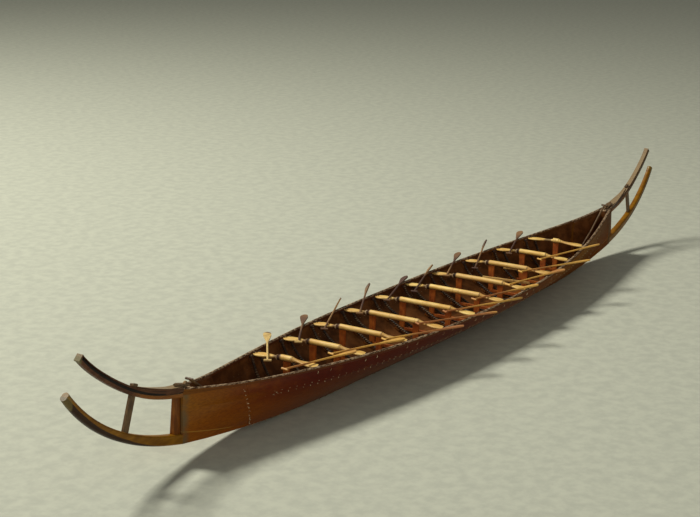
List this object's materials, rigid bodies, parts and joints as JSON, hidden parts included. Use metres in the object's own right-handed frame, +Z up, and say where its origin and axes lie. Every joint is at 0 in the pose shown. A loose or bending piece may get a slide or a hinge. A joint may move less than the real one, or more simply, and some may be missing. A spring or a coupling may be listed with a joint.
{
  "type": "sewn plank war canoe, scale model",
  "caption": "Wooden scale model of an ancient double-ended sewn plank boat, with a pair of upswept horns at each end, thwarts, ribs, paddles and steering oars.",
  "frame": {"origin": "on the floor under the middle of the hull, where the bottom plank is level", "axes": "+X towards the fore end, +Y to port, +Z up"},
  "size_m": [0.763, 0.1022, 0.0796],
  "materials": {
    "varnished_limewood": "gloss",
    "dark_stained_wood": "satin",
    "pale_limewood": "satin",
    "hazel": "matte",
    "ash_board": "satin"
  },
  "bodies": {
    "root": {"bottom_plank": "varnished_limewood", "cross_beams": "ash_board", "gunwale_horn_aft": "dark_stained_wood", "gunwale_horn_fore": "dark_stained_wood", "horn_strut_aft": "dark_stained_wood", "horn_strut_fore": "dark_stained_wood", "keel_horn_aft": "varnished_limewood", "keel_horn_fore": "varnished_limewood", "lower_strake_port": "varnished_limewood", "lower_strake_starboard": "varnished_limewood", "paddles_port": "dark_stained_wood", "paddles_starboard": "dark_stained_wood", "rib_1": "hazel", "rib_10": "hazel", "rib_2": "hazel", "rib_3": "hazel", "rib_4": "hazel", "rib_5": "hazel", "rib_6": "hazel", "rib_7": "hazel", "rib_8": "hazel", "rib_9": "hazel", "stanchions_1": "ash_board", "stanchions_10": "ash_board", "stanchions_2": "ash_board", "stanchions_3": "ash_board", "stanchions_4": "ash_board", "stanchions_5": "ash_board", "stanchions_6": "ash_board", "stanchions_7": "ash_board", "stanchions_8": "ash_board", "stanchions_9": "ash_board", "steering_oar_aft": "dark_stained_wood", "steering_oar_fore": "dark_stained_wood", "stem_block_aft": "varnished_limewood", "stem_block_fore": "varnished_limewood", "stem_head_aft": "dark_stained_wood", "stem_head_fore": "dark_stained_wood", "stem_post_aft": "varnished_limewood", "stem_post_fore": "varnished_limewood", "thwart_1": "pale_limewood", "thwart_10": "pale_limewood", "thwart_2": "pale_limewood", "thwart_3": "pale_limewood", "thwart_4": "pale_limewood", "thwart_5": "pale_limewood", "thwart_6": "pale_limewood", "thwart_7": "pale_limewood", "thwart_8": "pale_limewood", "thwart_9": "pale_limewood", "upper_strake_port": "varnished_limewood", "upper_strake_starboard": "varnished_limewood"}
  },
  "joints": []
}
